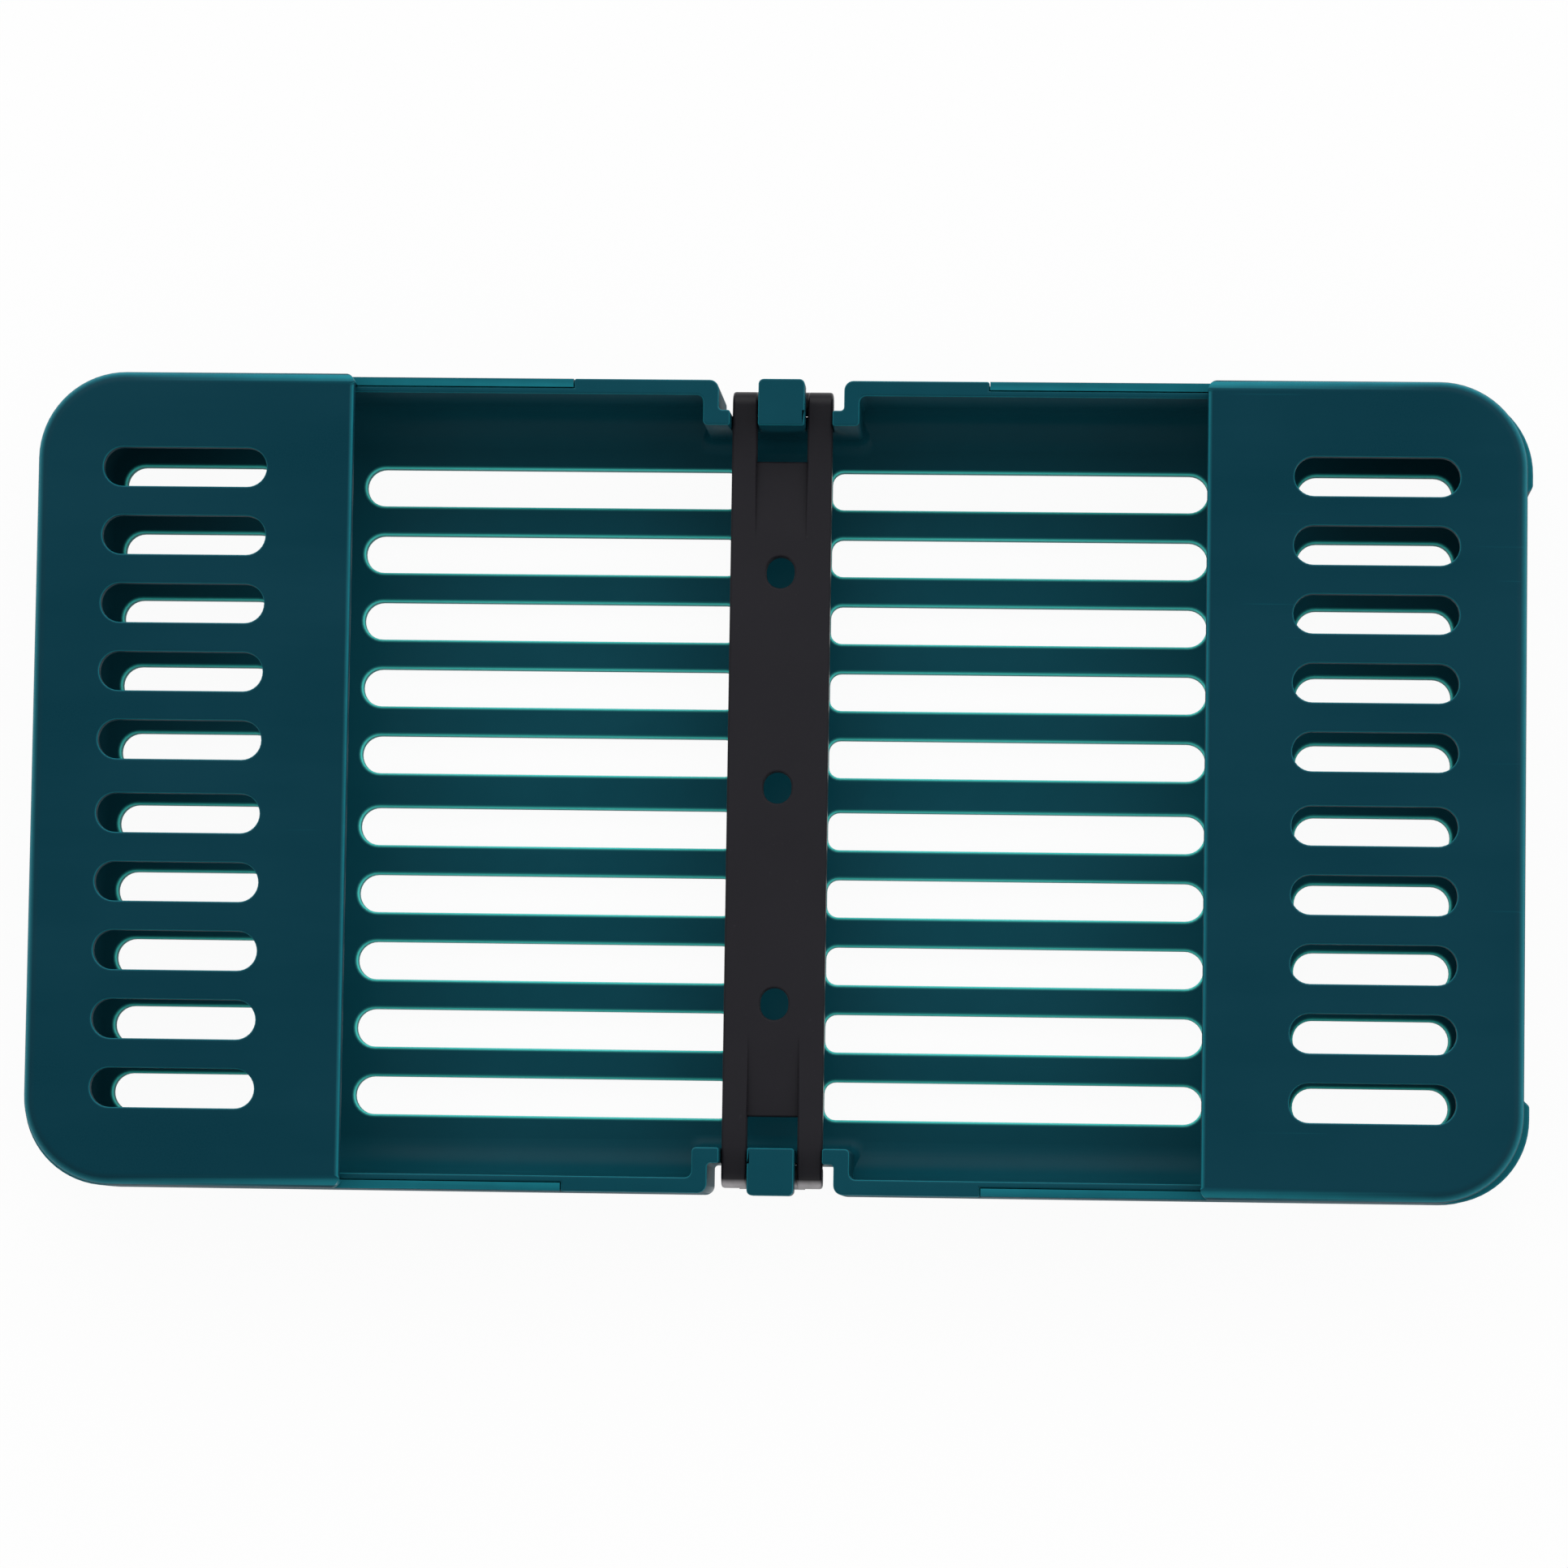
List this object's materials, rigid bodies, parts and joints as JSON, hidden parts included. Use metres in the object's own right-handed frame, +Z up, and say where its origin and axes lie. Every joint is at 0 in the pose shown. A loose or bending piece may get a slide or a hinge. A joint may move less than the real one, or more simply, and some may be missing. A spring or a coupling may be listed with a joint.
{
  "type": "dental instrument cassette",
  "caption": "Slotted instrument tray with two slotted end covers that slide outwards on runner arms and an elastic strap hooked over a catch in the middle of each long wall.",
  "frame": {"origin": "middle of the tray's underside, which is the bottom centre of the whole part's box", "axes": "+X along the cassette towards the right cover, +Y towards the back wall, where the strap stays hooked, +Z up"},
  "size_m": [0.2044, 0.111, 0.0235],
  "materials": {
    "teal_plastic": "satin moulded heat-resistant plastic",
    "black_silicone": "matte moulded silicone"
  },
  "bodies": {
    "tray": {"tray": "teal_plastic"},
    "left_cover": {"left_cover": "teal_plastic"},
    "right_cover": {"right_cover": "teal_plastic"},
    "strap": {"strap": "black_silicone", "strap_front_bar": "black_silicone"}
  },
  "joints": [
    {"name": "left_cover_slide", "type": "slide", "parent": "tray", "child": "left_cover", "axis": [-1, 0, 0], "range_m": [0, 0.03]},
    {"name": "right_cover_slide", "type": "slide", "parent": "tray", "child": "right_cover", "axis": [1, 0, 0], "range_m": [0, 0.03]},
    {"name": "strap_swing", "type": "hinge", "parent": "tray", "child": "strap", "pos_m": [0, 0.0529, 0.0119], "axis": [-1, 0, 0], "range_deg": [0, 110], "deforming": ["strap_front_bar"]}
  ]
}
